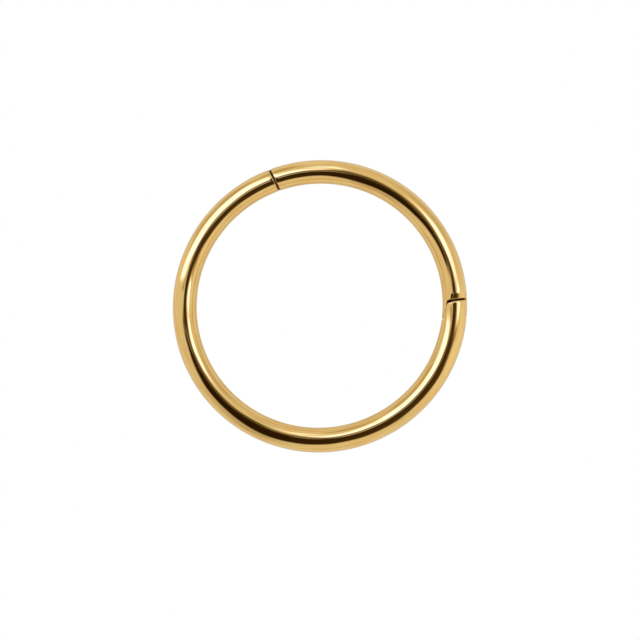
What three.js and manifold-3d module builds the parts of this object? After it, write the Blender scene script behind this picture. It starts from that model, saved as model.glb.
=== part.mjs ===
// A hinged hoop earring of round wire. A short segment of the hoop swings outwards on a pin.
// Millimetres, +Z up. The hoop lies on its side: its axis is Z and it rests on the plane Z = 0.

import * as THREE from 'three';
import { mergeVertices } from 'three/addons/utils/BufferGeometryUtils.js';
import Module from 'manifold-3d';

// The hoop. One side of the wire's section lies flat underneath.
const hoopRadius = 6.8;
const wireRadius = 0.6;
const wireSides = 20;
const hoopSteps = 144;

// The hinge pin, close to the hoop's outer side near +X. Its ends stop under the wire's surface.
const pinX = 7.1;
const pinY = -0.363;
const pinRadius = 0.13;
const pinHalfLength = 0.31;
const pinFit = 0.02;
const pinSides = 24;

// The hinge seam leans from a square cut, its outer end towards the segment. The shoulder is the
// segment's face there and the cheek is the body's. Distances and radii are from the pin's axis.
const seamLean = THREE.MathUtils.degToRad(12);
const shoulderDistance = 0.435;
const cheekDistance = 0.355;
const cheekCornerRadius = 0.41;
const heelRadius = 0.761;
const cheekInnerRadius = 0.711;
const heelFootX = 6.183;
const heelFootY = -0.82;
const heelFit = 0.03;

// The fork's slot and the segment's knuckle, in the wire's middle plane.
const slotHalfHeight = 0.2;
const tongueHalfHeight = 0.17;
const slotEndLean = THREE.MathUtils.degToRad(4);
const slotEndDistance = 0.5;
const knuckleRadius = 0.47;
const knuckleCornerCut = 0.09;

// The closing seam, at the segment's other end, leans too, its outer end towards the body.
const closeAngle = THREE.MathUtils.degToRad(109.34);
const closeLean = THREE.MathUtils.degToRad(6.2);
const closeGap = 0.06;

// The closing tongue and its pocket. The pocket is wider on the outer side, where the tongue
// swings out of it.
const closingTongueLength = 0.35;
const closingTongueHalfWidth = 0.2;
const closingFit = 0.03;
const closingSwingRoom = 0.22;

// Cutting shapes pass the wire's surface by at least this much.
const reach = 1.2;
const arcSteps = 12;

const gold = { color: 0xdcae62, roughness: 0.1, metalness: 1 };

const pinCentre = new THREE.Vector2(pinX, pinY);
const atSeam = frameAt(pinCentre, seamLean);
const atSlotEnd = frameAt(pinCentre, slotEndLean);
const atClose = frameAt(pointAt(hoopRadius, closeAngle), closeAngle + closeLean);

const wasm = await Module();
wasm.setup();

// A point in the hoop's plane, by its distance and direction from the hoop's centre.
function pointAt(radius, angle) {
  return new THREE.Vector2(radius * Math.cos(angle), radius * Math.sin(angle));
}

// A turned frame in the hoop's plane: what it returns places a point along and across from the
// frame's origin.
function frameAt(origin, angle) {
  const along = pointAt(1, angle);
  const across = pointAt(1, angle + Math.PI / 2);
  return (a, b) => origin.clone().addScaledVector(along, a).addScaledVector(across, b);
}

// Points along an arc about the pin, ends included.
function arcAboutPin(radius, from, to) {
  const points = [];
  for (let i = 0; i <= arcSteps; i += 1) {
    points.push(pointAt(radius, from + (to - from) * i / arcSteps).add(pinCentre));
  }
  return points;
}

// Where an arc about the pin meets a line parallel to the hinge seam: the direction from the pin,
// on the hoop's outer side (1) or its inner side (-1).
function directionAtSeam(radius, distance, side) {
  const along = side * Math.sqrt(radius * radius - distance * distance);
  return seamLean + Math.atan2(distance, along);
}

// A closed mesh with shared vertices, as a solid that can be joined and cut.
function solidOf(geometry) {
  const bare = geometry.clone();
  bare.deleteAttribute('normal');
  bare.deleteAttribute('uv');
  const merged = mergeVertices(bare, 1e-5);
  const mesh = new wasm.Mesh({
    numProp: 3,
    vertProperties: merged.attributes.position.array,
    triVerts: new Uint32Array(merged.index.array),
  });
  return new wasm.Manifold(mesh);
}

// A named mesh of a finished solid, in its own material.
function meshOf(solid, name) {
  const { vertProperties, triVerts } = solid.getMesh();
  const geometry = new THREE.BufferGeometry();
  geometry.setAttribute('position', new THREE.BufferAttribute(vertProperties, 3));
  geometry.setIndex(new THREE.BufferAttribute(triVerts, 1));
  geometry.computeVertexNormals();
  const mesh = new THREE.Mesh(geometry, new THREE.MeshStandardMaterial(gold));
  mesh.name = name;
  return mesh;
}

// A prism with this plan outline, the same distance above and below the wire's middle plane.
function prism(outline, halfHeight) {
  const settings = { depth: 2 * halfHeight, bevelEnabled: false };
  const geometry = new THREE.ExtrudeGeometry(new THREE.Shape(outline), settings);
  geometry.translate(0, 0, -halfHeight);
  return solidOf(geometry);
}

// A round bar on the hinge's axis.
function barOnPin(radius, halfLength) {
  const geometry = new THREE.CylinderGeometry(radius, radius, 2 * halfLength, pinSides);
  geometry.rotateX(Math.PI / 2);
  geometry.translate(pinX, pinY, 0);
  return solidOf(geometry);
}

// The whole hoop before it is cut: the wire's section turned about the hoop's axis.
function wholeHoop() {
  const cornerRadius = wireRadius / Math.cos(Math.PI / wireSides);
  const section = [];
  for (let i = 0; i <= wireSides; i += 1) {
    const corner = pointAt(cornerRadius, ((i % wireSides) + 0.5) * 2 * Math.PI / wireSides);
    section.push(new THREE.Vector2(hoopRadius + corner.x, corner.y));
  }
  const geometry = new THREE.LatheGeometry(section, hoopSteps);
  geometry.rotateX(Math.PI / 2);
  return solidOf(geometry);
}

// The plan outline of the stretch from the hinge round to the closing seam. The hinge's edge runs
// from the hoop's outer side in, and the closing edge from the inner side out.
function stretch(hingeEdge, closingEdge) {
  const far = 2 * hoopRadius;
  return [
    ...hingeEdge,
    ...closingEdge,
    pointAt(far, 2 * closeAngle / 3),
    pointAt(far, closeAngle / 3),
  ];
}

// An end face at the closing seam, this far past the seam towards the body.
function closeEdge(past) {
  return [atClose(-reach, past), atClose(reach, past)];
}

// The segment's edge at the hinge: the shoulder, then the heel that reaches down the hoop's inner
// side and tapers to nothing at its foot. The heel's upper part is an arc about the pin.
function shoulderEdge() {
  const top = directionAtSeam(heelRadius, shoulderDistance, -1);
  return [
    atSeam(reach, shoulderDistance),
    ...arcAboutPin(heelRadius, top, Math.PI),
    new THREE.Vector2(heelFootX, heelFootY),
    new THREE.Vector2(hoopRadius - reach, heelFootY),
  ];
}

// The fork's edge beside its slot: the outer corner is rounded about the pin so that the shoulder
// clears it, and the inner side follows the heel.
function cheekEdge() {
  const cornerTop = directionAtSeam(cheekCornerRadius, cheekDistance, 1);
  const innerTop = directionAtSeam(cheekInnerRadius, cheekDistance, -1);
  return [
    new THREE.Vector2(pinX + reach, pinY),
    ...arcAboutPin(cheekCornerRadius, 0, cornerTop),
    ...arcAboutPin(cheekInnerRadius, innerTop, Math.PI),
    new THREE.Vector2(heelFootX + heelFit, heelFootY - heelFit),
    new THREE.Vector2(hoopRadius - reach, heelFootY - heelFit),
  ];
}

// The knuckle's edge: round about the pin, then along the slot's end to the hoop's inner side,
// where its corner is cut back.
function knuckleEdge() {
  const innerSide = pinX - hoopRadius + wireRadius;
  return [
    new THREE.Vector2(pinX + reach, pinY),
    ...arcAboutPin(knuckleRadius, 0, slotEndLean - Math.PI / 2),
    atSlotEnd(knuckleCornerCut - innerSide, -knuckleRadius),
    atSlotEnd(-innerSide - knuckleCornerCut, knuckleCornerCut - knuckleRadius),
    atSlotEnd(-2 * reach, knuckleCornerCut - knuckleRadius),
  ];
}

// The end of the fork's slot, which is sawn right through from the outer side to the inner.
function slotEdge() {
  return [atSlotEnd(reach, -slotEndDistance), atSlotEnd(-2 * reach, -slotEndDistance)];
}

// The closing tongue: a thin plate that carries on past the segment's end face.
function closingTongue() {
  const root = -closeGap;
  return prism([
    atClose(-closingTongueHalfWidth, root),
    atClose(closingTongueHalfWidth, root),
    atClose(closingTongueHalfWidth, closingTongueLength / 2),
    atClose(0, closingTongueLength),
    atClose(-closingTongueHalfWidth, closingTongueLength),
  ], tongueHalfHeight);
}

// The pocket for it in the body's end face.
function closingPocket() {
  const inner = -closingTongueHalfWidth - closingFit;
  const outer = closingTongueHalfWidth + closingFit;
  const depth = closingTongueLength + closingFit;
  return prism([
    atClose(inner, 0),
    atClose(outer + closingSwingRoom, 0),
    atClose(outer, depth),
    atClose(inner, depth),
  ], slotHalfHeight);
}

// The segment: full wire between its two end faces, with the knuckle past one of them and the
// closing tongue past the other.
function hingedSegment() {
  const end = closeEdge(-closeGap / 2);
  const wire = prism(stretch(shoulderEdge(), end), reach);
  const knuckle = prism(stretch(knuckleEdge(), end), tongueHalfHeight);
  const arc = wholeHoop().intersect(wire.add(knuckle)).add(closingTongue());
  return meshOf(arc.subtract(barOnPin(pinRadius + pinFit, reach)), 'hinged_segment');
}

// The body: the rest of the hoop, forked at the hinge, with a blind hole for the pin in each cheek
// and the closing pocket in its other end.
function hoopBody() {
  const end = closeEdge(closeGap / 2);
  const wire = prism(stretch(cheekEdge(), end), reach);
  const slot = prism(stretch(slotEdge(), end), slotHalfHeight);
  const pinHole = barOnPin(pinRadius + pinFit, pinHalfLength + pinFit);
  const arc = wholeHoop().subtract(wire.add(slot));
  return meshOf(arc.subtract(pinHole).subtract(closingPocket()), 'hoop_body');
}

// The pin, hidden inside the wire.
function hingePin() {
  return meshOf(barOnPin(pinRadius, pinHalfLength), 'hinge_pin');
}

const group = new THREE.Group();
group.position.z = wireRadius;
group.add(hoopBody(), hingedSegment(), hingePin());

export default group;
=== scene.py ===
from math import cos, pi, radians, sin

import bpy
import numpy as np
from mathutils import Matrix, Vector


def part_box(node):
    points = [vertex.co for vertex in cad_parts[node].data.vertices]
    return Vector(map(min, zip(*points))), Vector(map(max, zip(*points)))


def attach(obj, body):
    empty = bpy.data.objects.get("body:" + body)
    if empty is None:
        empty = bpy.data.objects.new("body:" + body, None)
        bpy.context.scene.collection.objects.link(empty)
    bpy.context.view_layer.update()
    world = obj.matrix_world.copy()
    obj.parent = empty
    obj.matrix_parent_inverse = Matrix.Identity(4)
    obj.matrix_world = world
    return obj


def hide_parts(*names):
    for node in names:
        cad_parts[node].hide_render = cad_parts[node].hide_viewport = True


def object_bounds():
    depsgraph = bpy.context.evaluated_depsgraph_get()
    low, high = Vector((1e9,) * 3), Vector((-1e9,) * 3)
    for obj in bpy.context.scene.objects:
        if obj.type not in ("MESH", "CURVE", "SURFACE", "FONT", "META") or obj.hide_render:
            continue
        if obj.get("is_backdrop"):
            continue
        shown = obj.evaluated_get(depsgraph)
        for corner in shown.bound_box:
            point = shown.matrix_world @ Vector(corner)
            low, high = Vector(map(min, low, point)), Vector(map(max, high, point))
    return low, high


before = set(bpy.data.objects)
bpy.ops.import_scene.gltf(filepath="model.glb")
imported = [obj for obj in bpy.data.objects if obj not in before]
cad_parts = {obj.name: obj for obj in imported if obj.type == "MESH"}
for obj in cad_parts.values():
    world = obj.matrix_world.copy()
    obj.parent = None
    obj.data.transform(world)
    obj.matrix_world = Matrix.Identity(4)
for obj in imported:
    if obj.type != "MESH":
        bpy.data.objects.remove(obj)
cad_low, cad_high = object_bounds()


# ---- The hoop body ----
# Seven tenths of a ring of round wire, 1.2 mm thick, drawn, bent on a mandrel and mirror-polished
# yellow gold. Its right end is sawn into a fork for the hinge, and its other end, at the upper
# left, is faced square with a small blind pocket that takes the segment's closing tongue.

MM = 0.001
wire_radius = (cad_high.z - cad_low.z) / 2 / MM
hoop_radius = cad_high.x / MM - wire_radius
pin_low, pin_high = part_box("hinge_pin")
pin_x, pin_y = (pin_low.x + pin_high.x) / 2 / MM, (pin_low.y + pin_high.y) / 2 / MM

# The hinge end, in millimetres. Pairs are for where its seam is shut and where it is open.
seam_lean = radians(8)
cheek_distance = 0.336
cheek_corner_radius = 0.425
cheek_tilt = 0.03
cheek_edge_deep, cheek_edge_long = (0.01, 0.05), (0.015, 0.09)
hook_rounding = 0.07
heel_radius = 0.761
heel_top = (pin_x - heel_radius, pin_y)
heel_foot = (6.183, -0.82)
heel_gaps = (0.002, 0.02)
heel_opens_over = 0.2
relief_foot = (6.135, -0.98)
fork_fullness, fork_fullness_length = 0.066, 3.1
slot_lean = radians(4)
slot_end = 0.5
slot_half_height = 0.2
hole_radius = 0.15
hole_half_length = 0.33

# The closing end.
close_angle = radians(109.34)
close_lean = radians(6.2)
closing_point = (hoop_radius * cos(close_angle), hoop_radius * sin(close_angle))
close_gap = 0.068
land_gap = 0.002
rim_depth = 0.035
closing_edge_deep, body_edge_long = 0.03, 0.07
body_wear, body_wear_length = 0.014, 0.18
pocket_depth = 0.38
pocket_inner_side = 0.23
mouth_outer_side, mouth_lean = 0.45, radians(30)

hidden_edge = 0.02
end_length = 0.4 * hoop_radius


def seen_from(p, origin, lean):
    """How far points lie along and across a turned frame in the hoop's plane."""
    dx, dy = p[..., 0] - origin[0], p[..., 1] - origin[1]
    return dx * cos(lean) + dy * sin(lean), dy * cos(lean) - dx * sin(lean)


def right_of(p, start, end):
    """Distance to the right of a line that runs down the hoop's inner side."""
    dx, dy = end[0] - start[0], end[1] - start[1]
    length = np.hypot(dx, dy)
    return ((p[..., 1] - start[1]) * dx - (p[..., 0] - start[0]) * dy) / length


def from_pin(p):
    return np.hypot(p[..., 0] - pin_x, p[..., 1] - pin_y)


def between(pair, share):
    return pair[0] + (pair[1] - pair[0]) * share


def trimmed(solid, knife, deep, long):
    """The part of a solid that a knife leaves, its edge rounded over: deep into the solid's own
    surface, and long back from the cut. Both are distances that are negative inside."""
    a, b = solid / deep + 1, knife / long + 1
    outside = np.hypot(np.maximum(a, 0), np.maximum(b, 0))
    return (np.minimum(np.maximum(a, b), 0) + outside - 1) * np.minimum(deep, long)


def round_wire(p):
    """Distance outside the surface of the whole ring of wire."""
    return np.hypot(np.hypot(p[..., 0], p[..., 1]) - hoop_radius, p[..., 2]) - wire_radius


def wear(p, cut, deep, long, inner_share=1.0):
    """What polishing has taken off the wire before a cut: deep at the cut, long back from it, and
    inner_share of that on the hoop's inner side."""
    out = (np.hypot(p[..., 0], p[..., 1]) - hoop_radius) / wire_radius
    fade_start, fade_slope, toe = 1.05, 1.7, 0.2
    side = np.clip(out * fade_slope + fade_start, 0, 1)
    share = between((inner_share, 1), side * side * (3 - 2 * side))
    near = np.clip(1 + cut / long, 0, 1)
    return deep * share * (1 + toe) * near * near / (near + toe)


def full_shoulder(p, cut, height, long):
    """How much fuller the wire is before a cut, on the top of the hoop's inner side."""
    inward = np.maximum(hoop_radius - np.hypot(p[..., 0], p[..., 1]), 0)
    upward = np.maximum(p[..., 2], 0)
    from_middle = np.maximum(np.hypot(inward, upward), 0.05)
    share = (inward * upward) ** 1.5 / from_middle ** 3
    return height * share * np.clip(1 + cut / long, 0, 1) ** 2


def heel_opening(p):
    """The hinge seam is open down to about the pin's level and shut below it: from 1 to 0."""
    return np.clip((p[..., 1] - pin_y) / heel_opens_over, 0, 1)


def slab(p, half_height):
    return np.abs(p[..., 2]) - half_height


def with_land(face, wire):
    """A closing face whose rim stands back, so that only the land in its middle nearly meets the
    other closing face."""
    return np.minimum(face, np.maximum(face - (close_gap - land_gap) / 2, wire + rim_depth))


def near_hinge(p):
    return (p[..., 0] > 0) & (np.abs(p[..., 1]) < end_length)


def near_closing(p):
    _, across = seen_from(p, closing_point, close_angle + close_lean)
    return (p[..., 1] > 0) & (np.abs(across) < end_length)


def fork(p):
    along, across = seen_from(p, (pin_x, pin_y), seam_lean)
    face = across - cheek_distance - cheek_tilt * along
    opening = heel_opening(p)
    heel_room = np.maximum(heel_radius - from_pin(p), right_of(p, heel_top, heel_foot))
    heel_room = np.maximum(heel_room - between(heel_gaps, opening), heel_foot[1] - p[..., 1])
    relief = right_of(p, heel_foot, relief_foot) - heel_gaps[0]
    relief = np.maximum(relief, relief_foot[1] - p[..., 1])
    relief = np.maximum(relief, p[..., 1] - heel_foot[1])
    heel_room = np.minimum(heel_room, relief)
    corner_room = np.maximum(cheek_corner_radius - from_pin(p), pin_x - p[..., 0])
    corner_room = np.maximum(corner_room, pin_y - p[..., 1])
    cheeks = trimmed(face, -heel_room, hook_rounding, hook_rounding)
    cheeks = np.maximum(cheeks, -corner_room)
    wire = round_wire(p) - full_shoulder(p, face, fork_fullness, fork_fullness_length)
    solid = trimmed(wire, cheeks, between(cheek_edge_deep, opening),
                    between(cheek_edge_long, opening))
    _, above_slot_end = seen_from(p, (pin_x, pin_y), slot_lean)
    slot = np.maximum(slab(p, slot_half_height), -slot_end - above_slot_end)
    solid = trimmed(solid, -slot, hidden_edge, hidden_edge)
    hole = np.maximum(from_pin(p) - hole_radius, slab(p, hole_half_length))
    return np.maximum(solid, -hole)


def pocketed_end(p):
    along, across = seen_from(p, closing_point, close_angle + close_lean)
    face = close_gap / 2 - across
    wire = round_wire(p) + wear(p, face, body_wear, body_wear_length)
    solid = trimmed(wire, with_land(face, wire), closing_edge_deep, body_edge_long)
    mouth = (along - mouth_outer_side) * cos(mouth_lean) + across * sin(mouth_lean)
    pocket = np.maximum(np.maximum(-pocket_inner_side - along, mouth), across - pocket_depth)
    pocket = np.maximum(pocket, slab(p, slot_half_height))
    return trimmed(solid, -pocket, hidden_edge, hidden_edge)


def body_field(p):
    away_from_hinge = np.where(near_closing(p), pocketed_end(p), round_wire(p))
    return np.where(near_hinge(p), fork(p), away_from_hinge)


def stations(start, end, fine_zones, fine=0.02, coarse=0.15, growth=0.12):
    """Directions round the hoop, in radians: close together in the zones at its cut ends."""
    angles = [start]
    while angles[-1] < end:
        gaps = [max(low - angles[-1], angles[-1] - high, 0) for low, high in fine_zones]
        step = min(coarse, fine + growth * min(gaps) * hoop_radius)
        angles.append(angles[-1] + step / hoop_radius)
    return np.array(angles)


section_cells = 22


def around_wire(stations_round):
    """A lattice of points in and just round the wire: one plane of them at each station, laid out
    in squares that grow from the wire's middle, so that the outermost one inside is round."""
    step = 1 / section_cells
    line = np.arange(-1 - 1.5 * step, 1 + 2 * step, step)
    turn, a, b = np.meshgrid(stations_round, line, line, indexing="ij")
    ring = np.maximum(np.abs(a), np.abs(b))
    flat = np.abs(a) >= np.abs(b)
    share = np.where(flat, b, a) / np.where(ring > 0, ring, 1)
    lean = pi / 4 * share * np.where(flat, np.sign(a), np.sign(b))
    angle = np.where(flat, lean + np.where(a < 0, pi, 0), pi / 2 - lean + np.where(b < 0, pi, 0))
    out = hoop_radius + ring * wire_radius * np.cos(angle)
    up = ring * wire_radius * np.sin(angle)
    return np.stack([out * np.cos(turn), out * np.sin(turn), up], -1)


def part_corners(value):
    """Two corners of a lattice square that are inside, with outside corners between them, would
    leave surfaces that touch along a line: one of the two is put just outside."""
    rounds, just_outside = 3, 1e-4
    for _ in range(rounds):
        for axis in range(3):
            u, v = [k for k in range(3) if k != axis]
            corners = []
            for du, dv in ((0, 0), (1, 0), (1, 1), (0, 1)):
                cut = [slice(None)] * 3
                cut[u] = slice(1, None) if du else slice(None, -1)
                cut[v] = slice(1, None) if dv else slice(None, -1)
                corners.append(value[tuple(cut)])
            inside = [corner < 0 for corner in corners]
            for k in (0, 1):
                touching = inside[k] & inside[k + 2] & ~inside[1 - k] & ~inside[3 - k]
                corners[k][touching] = just_outside


def slope_of(field, points):
    probe = 1e-5
    steps = np.eye(3) * probe
    return np.stack([field(points + s) - field(points - s) for s in steps], -1) / (2 * probe)


def skin(field, lattice):
    """Vertices and four-sided faces of the surface where a field is zero: one vertex in each
    lattice cell that the surface crosses, moved exactly on to it, and its normals."""
    value = field(lattice)
    part_corners(value)
    inside = value < 0
    cells = tuple(n - 1 for n in value.shape)
    total, count = np.zeros(cells + (3,)), np.zeros(cells)
    crossings = []
    for axis in range(3):
        low = tuple(slice(None, -1) if k == axis else slice(None) for k in range(3))
        high = tuple(slice(1, None) if k == axis else slice(None) for k in range(3))
        where = np.argwhere(inside[low] != inside[high])
        i = tuple(where.T)
        v0, v1 = value[low][i], value[high][i]
        t = (v0 / (v0 - v1))[:, None]
        point = lattice[low][i] * (1 - t) + lattice[high][i] * t
        u, v = [k for k in range(3) if k != axis]
        for du, dv in ((0, 0), (1, 0), (1, 1), (0, 1)):
            cell = where.copy()
            cell[:, u] -= du
            cell[:, v] -= dv
            np.add.at(total, tuple(cell.T), point)
            np.add.at(count, tuple(cell.T), 1)
        crossings.append((axis, u, v, where, inside[low][i]))
    number = np.full(cells, -1)
    used = count > 0
    number[used] = np.arange(used.sum())
    vertices = total[used] / count[used][:, None]
    faces = []
    for axis, u, v, where, from_inside in crossings:
        corners = []
        for du, dv in ((1, 1), (0, 1), (0, 0), (1, 0)):
            cell = where.copy()
            cell[:, u] -= du
            cell[:, v] -= dv
            corners.append(number[tuple(cell.T)])
        quad = np.stack(corners, -1)
        flip = from_inside if axis != 1 else ~from_inside
        quad[flip] = quad[flip][:, ::-1]
        faces.append(quad)
    faces = np.concatenate(faces)
    rounds, most_move = 6, 0.03
    for _ in range(rounds):
        slope = slope_of(field, vertices)
        move = np.clip(field(vertices) / (slope ** 2).sum(-1), -most_move, most_move)
        vertices = vertices - slope * move[:, None]
    slope = slope_of(field, vertices)
    return vertices, faces, slope / np.linalg.norm(slope, axis=-1)[:, None]


def metal_piece(name, vertices, faces, normals, material):
    """A finished piece, lifted so that the wire rests on the table."""
    mesh = bpy.data.meshes.new(name)
    lifted = (vertices + (0, 0, wire_radius)) * MM
    mesh.from_pydata(lifted.tolist(), [], faces.tolist())
    mesh.update()
    mesh.shade_smooth()
    mesh.normals_split_custom_set_from_vertices(normals.tolist())
    mesh.materials.append(material)
    piece = bpy.data.objects.new(name, mesh)
    bpy.context.scene.collection.objects.link(piece)
    return piece


def node(tree, kind, inputs=(), **settings):
    """A new node: its settings, then its inputs by name, each a value or another node's output."""
    made = tree.nodes.new(kind)
    for name, value in settings.items():
        setattr(made, name, value)
    for name, value in dict(inputs).items():
        socket = made.inputs[name]
        if isinstance(value, bpy.types.NodeSocket):
            tree.links.new(value, socket)
        else:
            socket.default_value = value
    return made


def calc(tree, operation, *values):
    return node(tree, "ShaderNodeMath", enumerate(values), operation=operation).outputs[0]


def length_of(tree, a, b):
    squares = calc(tree, "ADD", calc(tree, "MULTIPLY", a, a), calc(tree, "MULTIPLY", b, b))
    return calc(tree, "SQRT", squares)


def soft_step(tree, value, low, high):
    """0 before low and 1 after high, or the other way round if high is the smaller."""
    inputs = {"Value": value, "From Min": low, "From Max": high}
    return node(tree, "ShaderNodeMapRange", inputs, interpolation_type="SMOOTHSTEP").outputs[0]


def blend_colour(tree, share, first, second):
    """first, a colour or a node's output, giving way to second as share goes from 0 to 1."""
    first, second = [c if isinstance(c, bpy.types.NodeSocket) else (*c, 1) for c in (first, second)]
    inputs = {0: share, 6: first, 7: second}
    return node(tree, "ShaderNodeMix", inputs, data_type="RGBA").outputs[2]


def new_group(name, inputs, outputs):
    """An empty node group, its given values and what it puts out."""
    tree = bpy.data.node_groups.new(name, "ShaderNodeTree")
    for label, value in inputs.items():
        socket = tree.interface.new_socket(label, in_out="INPUT", socket_type="NodeSocketFloat")
        socket.default_value = value
    for label in outputs:
        tree.interface.new_socket(label, in_out="OUTPUT", socket_type="NodeSocketFloat")
    group_in, group_out = tree.nodes.new("NodeGroupInput"), tree.nodes.new("NodeGroupOutput")
    return tree, group_in.outputs, group_out.inputs


def wire_place(tree):
    """Where a point is: its coordinates, then how far out from the wire's middle and how far above
    it, and how deep it is under the wire's surface, all in metres."""
    place = node(tree, "ShaderNodeTexCoord").outputs["Object"]
    x, y, z = node(tree, "ShaderNodeSeparateXYZ", {0: place}).outputs
    out = calc(tree, "SUBTRACT", length_of(tree, x, y), hoop_radius * MM)
    above = calc(tree, "SUBTRACT", z, wire_radius * MM)
    depth = calc(tree, "SUBTRACT", wire_radius * MM, length_of(tree, out, above))
    return x, y, out, above, depth


def drawn_noise(tree, x, y, out, above, along_size, across_size, detail):
    """Noise drawn out along the wire, round the whole hoop with no join."""
    flat = node(tree, "ShaderNodeCombineXYZ", {
        0: calc(tree, "DIVIDE", x, along_size),
        1: calc(tree, "DIVIDE", y, along_size),
        2: calc(tree, "DIVIDE", out, across_size),
    }).outputs[0]
    height = calc(tree, "DIVIDE", above, across_size)
    inputs = {"Vector": flat, "W": height, "Scale": 1.0, "Detail": detail}
    return node(tree, "ShaderNodeTexNoise", inputs, noise_dimensions="4D").outputs[0]


def bump_normal(tree, height):
    """A normal from a height in metres."""
    inputs = {"Strength": 1.0, "Distance": 1.0, "Height": height}
    return node(tree, "ShaderNodeBump", inputs).outputs[0]


# Hand polishing leaves the wire some hundredths of a millimetre wavy, with faint lines along it
# from the buffing wheel, and patches that are a shade hazier or warmer. Fine darker streaks along
# it are painted reflections.
polish, given, put_out = new_group("hand_polish", {"Wave Height": 0.022, "Line Height": 0.0004},
                                   ("Height", "Haze", "Warmth", "Streaks"))
*place, _ = wire_place(polish)
wave = drawn_noise(polish, *place, along_size=2 * MM, across_size=0.8 * MM, detail=1.0)
lines = drawn_noise(polish, *place, along_size=2.5 * MM, across_size=0.12 * MM, detail=2.0)
haze = drawn_noise(polish, *place, along_size=1.8 * MM, across_size=0.35 * MM, detail=3.0)
warmth = drawn_noise(polish, *place, along_size=0.9 * MM, across_size=0.25 * MM, detail=2.0)
# Painted reflection: fine darker streaks along the wire, where buffing lines would mirror darker
# surroundings.
reflection_streaks = drawn_noise(polish, *place, along_size=1.5 * MM, across_size=0.09 * MM, detail=2.0)
height = calc(polish, "MULTIPLY", wave, given["Wave Height"])
height = calc(polish, "MULTIPLY_ADD", lines, given["Line Height"], height)
polish.links.new(calc(polish, "MULTIPLY", height, MM), put_out["Height"])
for label, noise, low, high in (("Haze", haze, 0.45, 0.75), ("Warmth", warmth, 0.35, 0.65),
                                ("Streaks", reflection_streaks, 0.45, 0.75)):
    polish.links.new(soft_step(polish, noise, low, high), put_out[label])

# Painted shade in the joints: a dark, dull brown stands in for the shade deep in the hinge and
# close under the surface in the closing joint, below the edges that wear keeps bright. It thins out
# again towards the middle of the wire, where the faces rub.
joint_shade, given, put_out = new_group("painted_joint_shade", {
    "Hinge Starts": 0.05, "Hinge Full": 0.11, "Closing Starts": 0.008, "Closing Full": 0.022,
    "Thins": 0.3, "Ends": 0.6,
}, ("Painted Shade",))
*place, depth = wire_place(joint_shade)
depth = calc(joint_shade, "DIVIDE", depth, MM)
# Patchy strength for the painted shade.
shade_breakup = drawn_noise(joint_shade, *place, along_size=0.08 * MM, across_size=0.08 * MM, detail=3.0)
thinnest = 0.85
shade_breakup = soft_step(joint_shade, shade_breakup, 0.3, 0.6)
shade_breakup = calc(joint_shade, "MULTIPLY_ADD", shade_breakup, 1 - thinnest, thinnest)
in_hinge = soft_step(joint_shade, depth, given["Hinge Starts"], given["Hinge Full"])
in_closing = soft_step(joint_shade, depth, given["Closing Starts"], given["Closing Full"])
at_hinge = calc(joint_shade, "GREATER_THAN", place[0], 0.0)
share = calc(joint_shade, "ADD", calc(joint_shade, "MULTIPLY", in_hinge, at_hinge),
             calc(joint_shade, "MULTIPLY", in_closing, calc(joint_shade, "SUBTRACT", 1.0, at_hinge)))
share = calc(joint_shade, "MULTIPLY", share, soft_step(joint_shade, depth, given["Ends"], given["Thins"]))
joint_shade.links.new(calc(joint_shade, "MULTIPLY", share, shade_breakup), put_out["Painted Shade"])

yellow_gold = (0.955, 0.65, 0.235)
warm_gold = (0.97, 0.595, 0.195)
reflected_streak_gold = (0.78, 0.49, 0.165)
painted_shade_brown = (0.055, 0.018, 0.002)
mirror_roughness, haze_roughness, shaded_joint_roughness = 0.05, 0.05, 0.7


def polished_gold(name):
    """Mirror-polished gold, with painted shade in the joints that makes it dull and dark there."""
    material = bpy.data.materials.new(name)
    material.use_nodes = True
    tree = material.node_tree
    shader = tree.nodes["Principled BSDF"]
    shader.inputs["Specular IOR Level"].default_value = 0.1
    finish = node(tree, "ShaderNodeGroup", node_tree=polish)
    painted_shade = node(tree, "ShaderNodeGroup", node_tree=joint_shade).outputs["Painted Shade"]
    colour = blend_colour(tree, finish.outputs["Warmth"], yellow_gold, warm_gold)
    # Painted reflection: darker streaks along the wire.
    colour = blend_colour(tree, finish.outputs["Streaks"], colour, reflected_streak_gold)
    # Painted shade: the joints turn a dark, dull brown.
    colour = blend_colour(tree, painted_shade, colour, painted_shade_brown)
    tree.links.new(colour, shader.inputs["Base Color"])
    haze = finish.outputs["Haze"]
    roughness = calc(tree, "MULTIPLY_ADD", haze, haze_roughness, mirror_roughness)
    roughness = calc(tree, "MULTIPLY_ADD", painted_shade, shaded_joint_roughness, roughness)
    tree.links.new(roughness, shader.inputs["Roughness"])
    tree.links.new(calc(tree, "SUBTRACT", 1.0, painted_shade), shader.inputs["Metallic"])
    tree.links.new(bump_normal(tree, finish.outputs["Height"]), shader.inputs["Normal"])
    return material


# The lattice runs a few degrees past each end, and is finest near the cuts.
past_closing, past_cheek, above_pin = radians(4), radians(3), 0.1
closing_zone = (close_angle, close_angle + past_closing)
hinge_zone = (2 * pi + relief_foot[1] / hoop_radius, 2 * pi + above_pin / hoop_radius)
body_stations = stations(close_angle - past_closing, 2 * pi + past_cheek,
                         [closing_zone, hinge_zone])
body_skin = skin(body_field, around_wire(body_stations))
hoop_body = metal_piece("polished_hoop_body", *body_skin, polished_gold("hoop_body_gold"))
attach(hoop_body, "hoop")
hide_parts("hoop_body")


# ---- The hinged segment ----
# The gate of the ring: three tenths of the same wire, polished together with the body so that the
# two match. A flat knuckle at its lower end runs in the body's fork and turns on the pin, and a
# thin tongue at its upper end springs into the body's pocket to close the ring.

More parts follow.
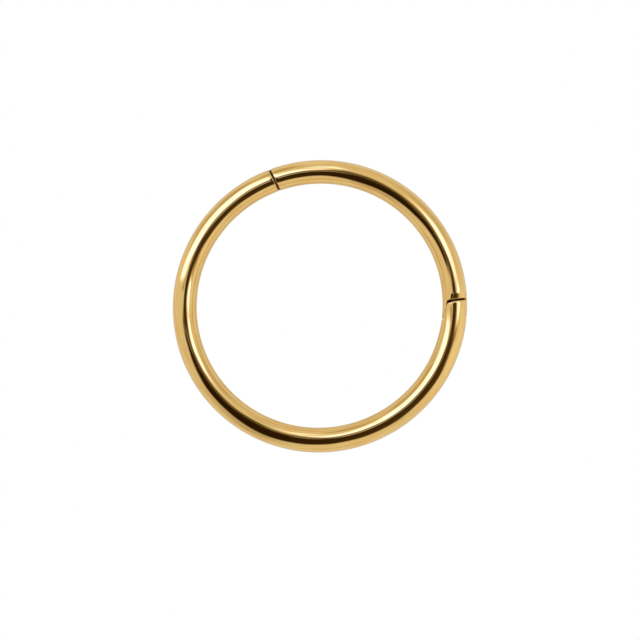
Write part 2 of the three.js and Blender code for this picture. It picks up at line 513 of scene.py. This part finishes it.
shoulder_distance = 0.438
shoulder_edge_deep, shoulder_edge_long = (0.008, 0.03), (0.01, 0.04)
shoulder_wear, shoulder_wear_length = 0.034, 0.3
knuckle_radius = 0.47
knuckle_corner_cut = 0.09
tongue_half_height = 0.17
segment_edge_long = 0.08
segment_wear, segment_wear_length = 0.006, 0.15
closing_tongue_length = 0.35
closing_tongue_half_width = 0.2
closing_tongue_root = 0.3
closing_tongue_edge = 0.03
nose_start, nose_lean = 0.175, radians(48.81)


def knuckled_end(p):
    _, across = seen_from(p, (pin_x, pin_y), seam_lean)
    face = shoulder_distance - across
    heel = np.maximum(heel_radius - from_pin(p), right_of(p, heel_top, heel_foot))
    heel = np.maximum(heel, heel_foot[1] - p[..., 1])
    opening = heel_opening(p)
    wire = round_wire(p) + wear(p, face, shoulder_wear, shoulder_wear_length, inner_share=0.0)
    shoulder = trimmed(wire, np.minimum(face, heel), between(shoulder_edge_deep, opening),
                       between(shoulder_edge_long, opening))
    slot_along, slot_across = seen_from(p, (pin_x, pin_y), slot_lean)
    inner_side = pin_x - hoop_radius + wire_radius
    flat_end = -knuckle_radius - slot_across
    corner = (flat_end + knuckle_corner_cut - inner_side - slot_along) * cos(pi / 4)
    knuckle = np.maximum(flat_end, corner)
    rounded = np.where(slot_along > 0, from_pin(p) - knuckle_radius, -1.0)
    knuckle = np.where(slot_across < 0, np.maximum(knuckle, rounded), knuckle)
    knuckle = np.maximum(knuckle, slab(p, tongue_half_height))
    knuckle = trimmed(round_wire(p), knuckle, hidden_edge, hidden_edge)
    solid = np.minimum(shoulder, knuckle)
    return np.maximum(solid, hole_radius - from_pin(p))


def tongued_end(p):
    along, across = seen_from(p, closing_point, close_angle + close_lean)
    face = across + close_gap / 2
    wire = round_wire(p) + wear(p, face, segment_wear, segment_wear_length)
    solid = trimmed(wire, with_land(face, wire), closing_edge_deep, segment_edge_long)
    nose = (along - closing_tongue_half_width) * cos(nose_lean)
    nose = nose + (across - nose_start) * sin(nose_lean)
    tongue = np.maximum(np.abs(along) - closing_tongue_half_width, across - closing_tongue_length)
    tongue = np.maximum(np.maximum(tongue, nose), -closing_tongue_root - across)
    tongue_side = slab(p, tongue_half_height)
    tongue = trimmed(tongue, tongue_side, closing_tongue_edge, closing_tongue_edge)
    return np.minimum(solid, tongue)


def segment_field(p):
    away_from_hinge = np.where(near_closing(p), tongued_end(p), round_wire(p))
    return np.where(near_hinge(p), knuckled_end(p), away_from_hinge)


past_knuckle, above_shoulder, before_face = radians(9), 0.3, radians(0.8)
knuckle_zone = (-past_knuckle, above_shoulder / hoop_radius)
tongue_zone = (close_angle - before_face, close_angle + past_closing)
segment_stations = stations(-past_knuckle, close_angle + past_closing, [knuckle_zone, tongue_zone])
segment_skin = skin(segment_field, around_wire(segment_stations))
segment = metal_piece("polished_hinged_segment", *segment_skin,
                      polished_gold("hinged_segment_gold"))
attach(segment, "segment")
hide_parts("hinged_segment")


# ---- The hinge pin ----
# A short steel-hard pin of the same gold colour, pressed through the knuckle with its two ends in
# blind holes in the fork's cheeks. Its ends are chamfered so that it starts straight.

pin_radius = (pin_high.x - pin_low.x) / 2 / MM
pin_half_length = (pin_high.z - pin_low.z) / 2 / MM
pin_chamfer = 0.03
pin_sides = 48
pin_edge = [
    (pin_radius - pin_chamfer, -pin_half_length),
    (pin_radius, pin_chamfer - pin_half_length),
    (pin_radius, pin_half_length - pin_chamfer),
    (pin_radius - pin_chamfer, pin_half_length),
]
pin_points = [(0, 0, -pin_half_length), (0, 0, pin_half_length)]
pin_faces = []
rings, last = len(pin_edge), len(pin_edge) - 1
for side in range(pin_sides):
    turn = 2 * pi * side / pin_sides
    pin_points += [(radius * cos(turn), radius * sin(turn), height) for radius, height in pin_edge]
    here, there = 2 + rings * side, 2 + rings * ((side + 1) % pin_sides)
    pin_faces += [(0, there, here), (1, here + last, there + last)]
    pin_faces += [(here + k, there + k, there + k + 1, here + k + 1) for k in range(last)]
pin_mesh = bpy.data.meshes.new("turned_hinge_pin")
pin_place = np.array((pin_x, pin_y, wire_radius))
pin_mesh.from_pydata(((np.array(pin_points) + pin_place) * MM).tolist(), [], pin_faces)
groove_shade_gold = (0.5, 0.31, 0.12)
turned_gold = bpy.data.materials.new("turned_gold")
turned_gold.use_nodes = True
tree = turned_gold.node_tree
shader = tree.nodes["Principled BSDF"]
shader.inputs["Metallic"].default_value = 1
x, y, out, above, _ = wire_place(tree)
grooves = drawn_noise(tree, x, y, above, out, along_size=0.5 * MM, across_size=0.02 * MM,
                      detail=2.0)
ridge_roughness, groove_roughness, groove_depth = 0.1, 0.4, 0.002 * MM
roughness = calc(tree, "MULTIPLY_ADD", grooves, groove_roughness - ridge_roughness, ridge_roughness)
# Painted shade: the grooves are a darker gold.
tree.links.new(blend_colour(tree, grooves, yellow_gold, groove_shade_gold), shader.inputs["Base Color"])
tree.links.new(roughness, shader.inputs["Roughness"])
normal = bump_normal(tree, calc(tree, "MULTIPLY", grooves, groove_depth))
tree.links.new(normal, shader.inputs["Normal"])
pin_mesh.materials.append(turned_gold)
hinge_pin = bpy.data.objects.new("turned_hinge_pin", pin_mesh)
bpy.context.scene.collection.objects.link(hinge_pin)
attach(hinge_pin, "hoop")
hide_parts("hinge_pin")


# ---- The camera ----
# A macro lens near the ring, a little off the ring's axis towards the lower right.

ring_centre = Vector((0, 0, wire_radius * MM))
camera_distance = 0.03902
tilt, tilt_direction = radians(9.36), radians(297.8)
camera_way = Vector((sin(tilt) * cos(tilt_direction), sin(tilt) * sin(tilt_direction), cos(tilt)))
camera_up = (Vector((0, 1, 0)) - camera_way.y * camera_way).normalized()
camera_right = camera_up.cross(camera_way)
camera_turn = Matrix((camera_right, camera_up, camera_way)).transposed()
camera_data = bpy.data.cameras.new("camera")
camera_data.sensor_width = 36
camera_data.lens = 43.69
camera_data.shift_x, camera_data.shift_y = 0.0031, -0.0271
camera_data.clip_start, camera_data.clip_end = 0.001, 10
camera = bpy.data.objects.new("camera", camera_data)
camera_place = ring_centre + camera_way * camera_distance
camera.matrix_world = Matrix.Translation(camera_place) @ camera_turn.to_4x4()
bpy.context.scene.collection.objects.link(camera)
bpy.context.scene.camera = camera


# ---- The table and the studio ----
# A plain white table, lit evenly from all round. Two soft boxes stand high on either side behind
# the ring, and the unlit space round the camera is dark. Only the metal mirrors those.

reach = 0.4
table_corners = [(-reach, -reach, 0), (reach, -reach, 0), (reach, reach, 0), (-reach, reach, 0)]
table_mesh = bpy.data.meshes.new("table")
table_mesh.from_pydata(table_corners, [], [(0, 1, 2, 3)])
table = bpy.data.objects.new("table", table_mesh)
bpy.context.scene.collection.objects.link(table)
white = bpy.data.materials.new("table_white")
white.use_nodes = True
white.cycles.emission_sampling = "NONE"
tree = white.node_tree
tree.nodes.clear()
glow = node(tree, "ShaderNodeEmission", {"Color": (1, 1, 1, 1), "Strength": 1.0})
node(tree, "ShaderNodeOutputMaterial", {0: glow.outputs[0]})
table_mesh.materials.append(white)
table.visible_glossy = False
table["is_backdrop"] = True

world = bpy.data.worlds.new("studio_light")
bpy.context.scene.world = world
world.use_nodes = True
world.node_tree.nodes["Background"].inputs["Color"].default_value = (1, 1, 1, 1)
world.node_tree.nodes["Background"].inputs["Strength"].default_value = 1

tent_distance = 0.035
bpy.ops.mesh.primitive_uv_sphere_add(segments=96, ring_count=48, radius=tent_distance)
tent = bpy.context.object
tent.name = "light_tent"
tent.matrix_world = Matrix.Translation(ring_centre) @ camera_turn.to_4x4()
tent.data.shade_smooth()
tent.visible_camera = False
tent.visible_diffuse = False
tent.visible_transmission = False
tent.visible_volume_scatter = False
tent.visible_shadow = False
tent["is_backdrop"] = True
tent_light = bpy.data.materials.new("tent_light")
tent_light.use_nodes = True
tent_light.cycles.emission_sampling = "NONE"
tree = tent_light.node_tree
tree.nodes.clear()
place = node(tree, "ShaderNodeTexCoord").outputs["Object"]
way = node(tree, "ShaderNodeVectorMath", {0: place}, operation="NORMALIZE").outputs[0]
way_x, way_y, way_z = node(tree, "ShaderNodeSeparateXYZ", {0: way}).outputs
from_axis = calc(tree, "MULTIPLY", calc(tree, "ARCCOSINE", way_z), 180 / pi)
off_axis = calc(tree, "MAXIMUM", length_of(tree, way_x, way_y), 3e-5)
scale = calc(tree, "DIVIDE", from_axis, off_axis)
across, up = calc(tree, "MULTIPLY", way_x, scale), calc(tree, "MULTIPLY", way_y, scale)


def edge(through, facing, softness):
    """A soft straight edge, in degrees across and up from the camera as seen from the ring: 1 on
    the side that it faces and 0 on the other."""
    dx = calc(tree, "MULTIPLY", calc(tree, "SUBTRACT", across, through[0]), cos(radians(facing)))
    dy = calc(tree, "MULTIPLY", calc(tree, "SUBTRACT", up, through[1]), sin(radians(facing)))
    return soft_step(tree, calc(tree, "ADD", dx, dy), -softness, softness)


def panel(*edges):
    """A soft-edged panel: the space that all its edges face."""
    share = edge(*edges[0])
    for one in edges[1:]:
        share = calc(tree, "MULTIPLY", share, edge(*one))
    return share


def oval(centre, size, softness):
    """A soft-edged oval panel: its half width and half height are its size."""
    dx = calc(tree, "DIVIDE", calc(tree, "SUBTRACT", across, centre[0]), size[0])
    dy = calc(tree, "DIVIDE", calc(tree, "SUBTRACT", up, centre[1]), size[1])
    return soft_step(tree, length_of(tree, dx, dy), 1 + softness, 1 - softness)


# The tent's cloth, with places that are lit unevenly: the middle, size, softness and colour of
# each. Beside the ring and behind it the cloth is tinted by what it stands on, between two angles
# from the camera's way.
colour = (0.755, 0.77, 0.77)
for centre, size, softness, tint in (
    ((-55, 59), (21, 17), 0.6, (0.53, 0.52, 0.45)),
    ((52, 63), (25, 22), 0.7, (0.596, 0.608, 0.608)),
    ((-41, -46), (19, 25), 0.7, (0.551, 0.562, 0.562)),
    ((-24, 71), (10, 12), 0.6, (0.52, 0.48, 0.37)),
    ((-5.5, 50), (5, 10), 0.5, (1.12, 1.45, 2.27)),
    ((70, -14), (25, 27), 0.7, (0.868, 0.886, 0.886)),
):
    colour = blend_colour(tree, oval(centre, size, softness), colour, tint)
for start, end, tint in ((85, 105, (0.785, 0.805, 0.865)), (105, 145, (0.65, 0.655, 0.665)),
                         (150, 180, (0.695, 0.655, 0.385))):
    colour = blend_colour(tree, soft_step(tree, from_axis, start, end), colour, tint)

# The opening that the camera looks through, with the unlit room and the camera's pale front behind
# it and a dim strip of the tent's frame along its right side.
dim_strip = panel(((30, -3), 90, 5), ((41, 0), 180, 7), ((20, 7), 270, 4), ((-9, 10), 0, 0.5))
frame_brown = (0.26, 0.19, 0.1)
colour = blend_colour(tree, dim_strip, colour, frame_brown)
opening = panel(((-26.7, 17.1), -32, 5), ((-44.6, -12.2), 21, 6), ((-14.9, -42.9), 101, 6),
                ((31.2, -28.7), 151, 6), ((35.5, -5), 222, 5), ((0, 19.6), 284, 1.5))
room_left, room_right, camera_grey = (0.022, 0.011, 0.002), (0.065, 0.042, 0.014), (0.5, 0.53, 0.6)
dark = blend_colour(tree, soft_step(tree, across, -31, 30), room_left, room_right)
dark = blend_colour(tree, oval((-5, 10.2), (4.4, 4.2), 0.5), dark, camera_grey)
colour = blend_colour(tree, opening, colour, dark)

# The two soft boxes above it, the dark gap between them, and a small card below the right one.
# Their light is warmer towards their edges.
gap_brown, box_white, box_edge = (0.09, 0.07, 0.025), (1.4, 1.75, 3.4), (1.1, 1.0, 0.6)
gap = calc(tree, "MULTIPLY", oval((-12.7, 19.8), (20.9, 14.4), 0.6), edge((0, 17.7), 90, 0.8))
left_box = panel(((-30, 19.5), 86, 2), ((-9.3, 22), 161, 2.5), ((-50, 42), 309, 6),
                 ((-30, 56), 230, 6))
right_box = panel(((25, 19.7), 79, 3), ((11.8, 30), -15, 4), ((39.5, 39), 195, 6),
                  ((15, 42.5), 272, 6))
card = oval((37, 15), (12, 7), 0.3)
colour = blend_colour(tree, gap, colour, gap_brown)
for lit in (left_box, right_box, card):
    colour = blend_colour(tree, lit, colour, box_edge)
    colour = blend_colour(tree, calc(tree, "POWER", lit, 3.0), colour, box_white)
glow = node(tree, "ShaderNodeEmission", {"Color": colour, "Strength": 1.0})
node(tree, "ShaderNodeOutputMaterial", {0: glow.outputs[0]})
tent.data.materials.append(tent_light)

bpy.context.scene.view_settings.view_transform = "Standard"

low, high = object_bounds()
